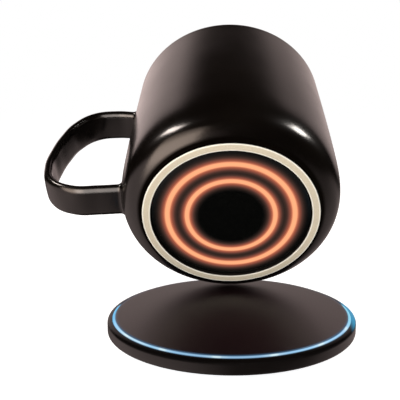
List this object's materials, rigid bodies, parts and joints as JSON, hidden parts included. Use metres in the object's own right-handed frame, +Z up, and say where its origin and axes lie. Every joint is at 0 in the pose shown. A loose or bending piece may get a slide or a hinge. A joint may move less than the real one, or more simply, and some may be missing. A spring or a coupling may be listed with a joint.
{
  "type": "self heating mug with wireless base",
  "caption": "Dark glazed self heating mug with a strap handle, tipped back on its heel on a thin round wireless heating base; light rings in its underside and round the base.",
  "frame": {"origin": "centre of the underside of the base's anti-slip pad, on the surface it stands on", "axes": "+Z up; +Y away from the picture's viewpoint, the side the mug leans to and the side of the base's power socket; the handle is on -X"},
  "size_m": [0.1319, 0.1597, 0.1264],
  "materials": {
    "glaze": "satin",
    "cream_silicone": "satin",
    "smoked_cover": "gloss",
    "orange_light": "satin",
    "seal": "matte",
    "copper": "gloss",
    "ferrite": "matte",
    "circuit_board": "satin",
    "chip": "matte",
    "component_body": "satin",
    "foam": "matte",
    "heater_film": "gloss",
    "aluminium": "satin",
    "plate": "satin",
    "housing": "satin",
    "blue_light": "satin",
    "black_silicone": "matte",
    "led": "gloss",
    "steel": "satin"
  },
  "bodies": {
    "base": {"anti_slip_pad": "black_silicone", "base_lower_housing": "housing", "base_top_plate": "plate", "base_light_ring": "blue_light", "usb_c_socket": "steel", "transmitter_coil": "copper", "transmitter_ferrite": "ferrite", "control_board": "circuit_board", "driver_chip": "chip", "power_inductor": "ferrite", "capacitor_1": "component_body", "capacitor_2": "component_body", "led_chip_1": "led", "led_chip_2": "led", "led_chip_3": "led", "led_chip_4": "led", "led_chip_5": "led", "led_chip_6": "led", "led_chip_7": "led", "led_chip_8": "led", "led_chip_9": "led", "led_chip_10": "led", "led_chip_11": "led", "led_chip_12": "led", "led_chip_13": "led", "led_chip_14": "led", "housing_screw_1": "steel", "housing_screw_2": "steel", "housing_screw_3": "steel", "housing_screw_4": "steel"},
    "mug": {"mug_body": "glaze", "handle": "glaze", "foot_ring": "cream_silicone", "bottom_cover": "smoked_cover", "outer_glow_ring": "orange_light", "inner_glow_ring": "orange_light", "cover_seal": "seal", "receiver_coil": "copper", "receiver_ferrite": "ferrite", "receiver_board": "circuit_board", "rectifier_chip": "chip", "control_chip": "chip", "thermistor": "component_body", "insulating_pad": "foam", "heating_element": "heater_film", "heat_spreader": "aluminium", "ring_led_1": "led", "ring_led_2": "led", "ring_led_3": "led", "ring_led_4": "led"}
  },
  "joints": [
    {"name": "mug_tip", "type": "hinge", "parent": "base", "child": "mug", "pos_m": [0, 0.03553, 0.0164], "axis": [-1, 0, 0], "range_deg": [-60.5, 0]}
  ]
}
